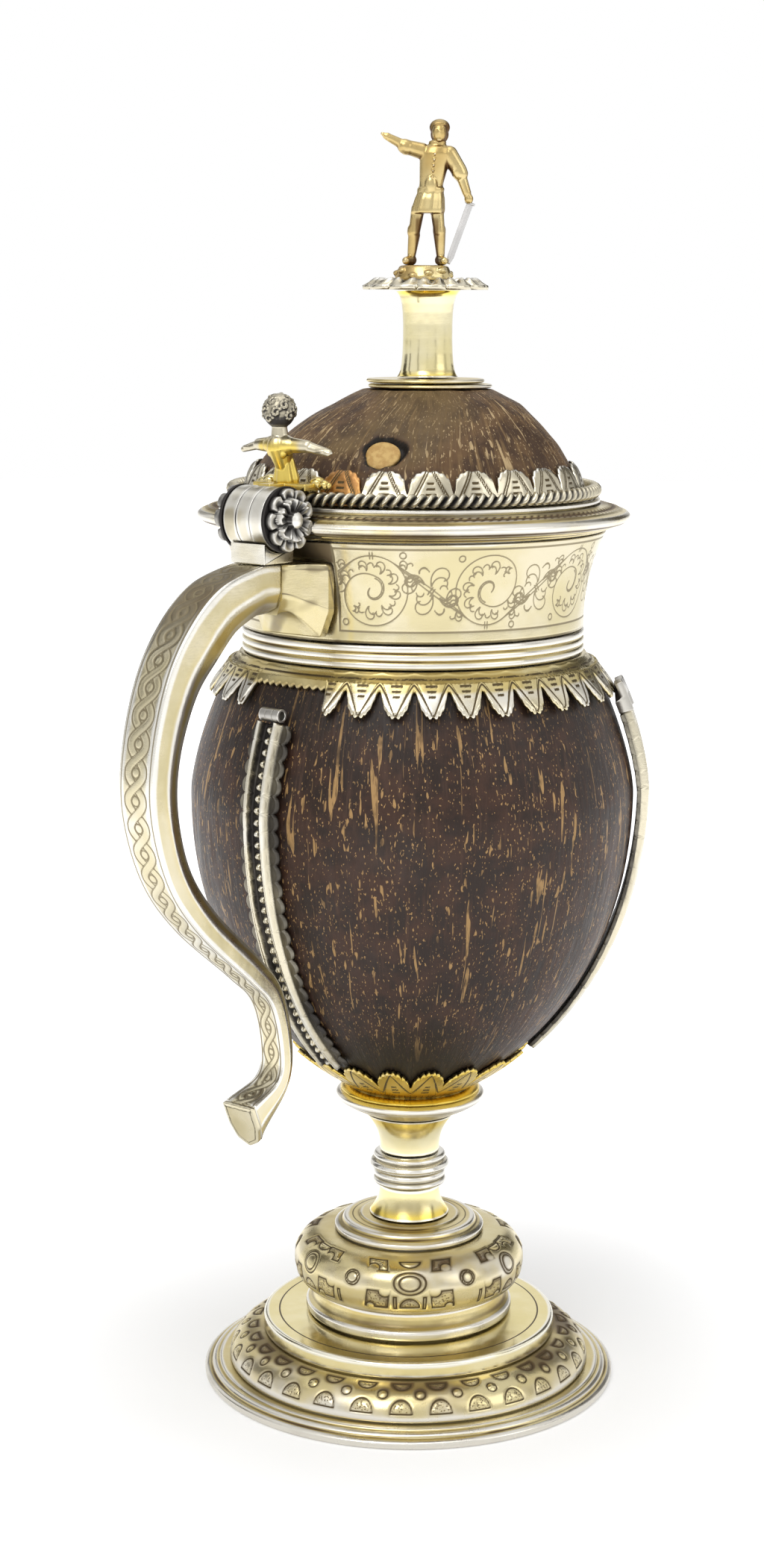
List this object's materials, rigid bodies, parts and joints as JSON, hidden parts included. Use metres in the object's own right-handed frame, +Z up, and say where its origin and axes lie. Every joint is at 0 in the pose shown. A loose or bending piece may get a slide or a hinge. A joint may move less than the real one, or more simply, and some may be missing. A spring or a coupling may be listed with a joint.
{
  "type": "lidded tankard",
  "caption": "Lidded tankard: a coconut shell held by hinged straps in gilt mounts, on a turned foot, with a curved handle and a domed hinged lid under a small standing figure.",
  "frame": {"origin": "on the vessel's own axis, in the plane on which the foot stands", "axes": "+Z up, along the vessel's axis; -X toward the handle and the lid's hinge; the hinge's axis runs along Y"},
  "size_m": [0.1321, 0.0958, 0.2743],
  "materials": {
    "silver_gilt": "polished silver-gilt, worn to silver on the edges",
    "worn_silver": "tarnished silver",
    "bolt_steel": "dull turned steel",
    "coconut_shell": "polished coconut shell, dark brown with tan flecks",
    "eye_plug": "pale dry pith, matte"
  },
  "bodies": {
    "vessel": {"foot_rim": "silver_gilt", "foot_moulding": "silver_gilt", "foot_plate": "silver_gilt", "foot_pedestal": "silver_gilt", "cushion": "silver_gilt", "cushion_cap": "silver_gilt", "stem_lower": "silver_gilt", "stem_knop": "silver_gilt", "stem_upper": "silver_gilt", "calyx_collar": "silver_gilt", "calyx_bowl": "silver_gilt", "stem_bolt": "bolt_steel", "stem_bolt_nut": "bolt_steel", "nut_shell": "coconut_shell", "strap_handle": "silver_gilt", "strap_right": "silver_gilt", "strap_back": "silver_gilt", "strap_knuckle_handle": "silver_gilt", "strap_knuckle_right": "silver_gilt", "strap_knuckle_back": "silver_gilt", "strap_pin_right": "silver_gilt", "strap_pin_back": "silver_gilt", "strap_lug_right": "silver_gilt", "strap_lug_back": "silver_gilt", "neck_skirt": "silver_gilt", "neck_reeds": "silver_gilt", "neck_band": "silver_gilt", "lip_flange": "silver_gilt", "handle_body": "silver_gilt", "handle_shield": "silver_gilt", "handle_bracket": "silver_gilt", "handle_saddle": "silver_gilt", "knuckle_front": "silver_gilt", "knuckle_rear": "silver_gilt", "hinge_pin": "worn_silver", "washer_front": "worn_silver", "washer_rear": "worn_silver", "rosette_front": "worn_silver", "rosette_rear": "worn_silver"},
    "lid": {"lid_knuckle": "silver_gilt", "lid_bezel": "silver_gilt", "lid_rim": "silver_gilt", "lid_wire": "silver_gilt", "lid_border": "silver_gilt", "lid_dome": "coconut_shell", "eye_plug_1": "eye_plug", "eye_plug_2": "eye_plug", "eye_plug_3": "eye_plug", "thumbpiece": "silver_gilt", "finial_plate_1": "silver_gilt", "finial_plate_2": "silver_gilt", "finial_column": "silver_gilt", "finial_dish": "silver_gilt", "figure_mound": "silver_gilt", "finial_rod": "bolt_steel", "finial_rod_nut": "bolt_steel", "standing_figure": "silver_gilt", "sword": "worn_silver"}
  },
  "joints": [
    {"name": "lid_hinge", "type": "hinge", "parent": "vessel", "child": "lid", "pos_m": [-0.04723, 0, 0.1941], "axis": [0, -1, 0], "range_deg": [0, 100]}
  ]
}
